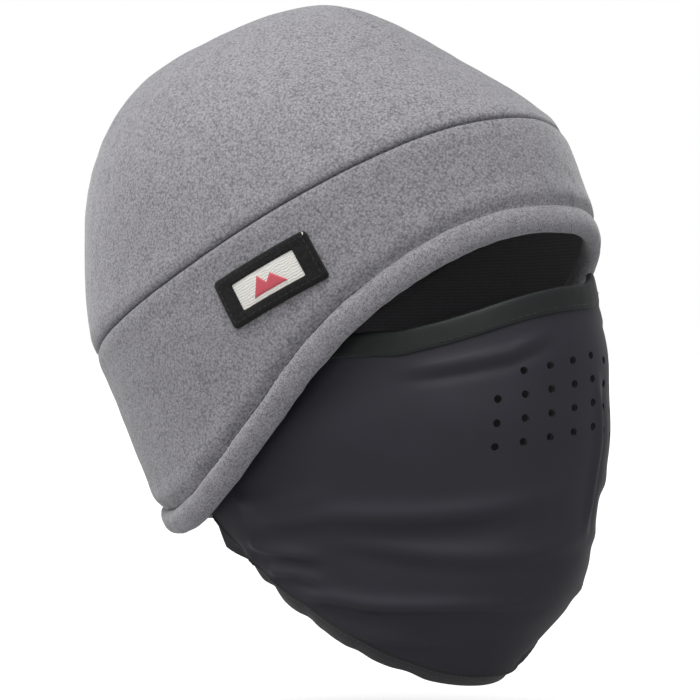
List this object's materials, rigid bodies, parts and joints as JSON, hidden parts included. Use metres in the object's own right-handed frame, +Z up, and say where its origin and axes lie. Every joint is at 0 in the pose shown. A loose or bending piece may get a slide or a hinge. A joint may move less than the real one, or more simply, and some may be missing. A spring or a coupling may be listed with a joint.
{
  "type": "balaclava",
  "caption": "Fleece cap with a tilted ear band, a rolled edge and a face mask with breathing holes that pulls down from a tack at each ear.",
  "frame": {"origin": "middle of the wearer's head at the bridge of the nose, between the ears", "axes": "+X to the wearer's left, +Y to the back of the head, +Z up"},
  "size_m": [0.1713, 0.228, 0.2626],
  "materials": {
    "fleece_crown": "short brushed pile, pale grey",
    "fleece_band": "short brushed pile, mid grey",
    "fleece_binding": "short brushed pile, grey",
    "lining": "smooth knit, dark grey",
    "mask_fabric": "smooth stretch knit, near black",
    "mask_lining": "brushed knit, black",
    "mask_binding": "smooth elastic tape, black",
    "thread_grey": "twisted thread, grey",
    "thread_black": "twisted thread, black",
    "label_black": "felted patch, black",
    "label_white": "woven label, off white",
    "label_red": "embroidered thread, red"
  },
  "bodies": {
    "cap": {"crown_shell": "fleece_crown", "crown_seam": "thread_grey", "dart_seam_front": "thread_grey", "dart_seam_back_right": "thread_grey", "dart_seam_back_left": "thread_grey", "ear_band": "fleece_band", "ear_band_lining": "lining", "edge_binding": "fleece_binding", "binding_seam": "thread_grey", "label_frame": "label_black", "label_insert": "label_white", "label_emblem": "label_red", "label_stitching": "thread_black", "ear_patch_right": "lining", "ear_patch_left": "lining", "mask_tack_right": "thread_black", "mask_tack_left": "thread_black"},
    "mask": {"mask_panel": "mask_fabric", "mask_liner": "mask_lining", "mask_top_binding": "mask_binding", "mask_top_stitch": "thread_black", "mask_hem_seam": "thread_black", "mask_tab_right": "mask_binding", "mask_tab_left": "mask_binding"}
  },
  "joints": [
    {"name": "mask_pull_down", "type": "hinge", "parent": "cap", "child": "mask", "pos_m": [0, 0.014, -0.018], "axis": [1, 0, 0], "range_deg": [0, 27]}
  ]
}
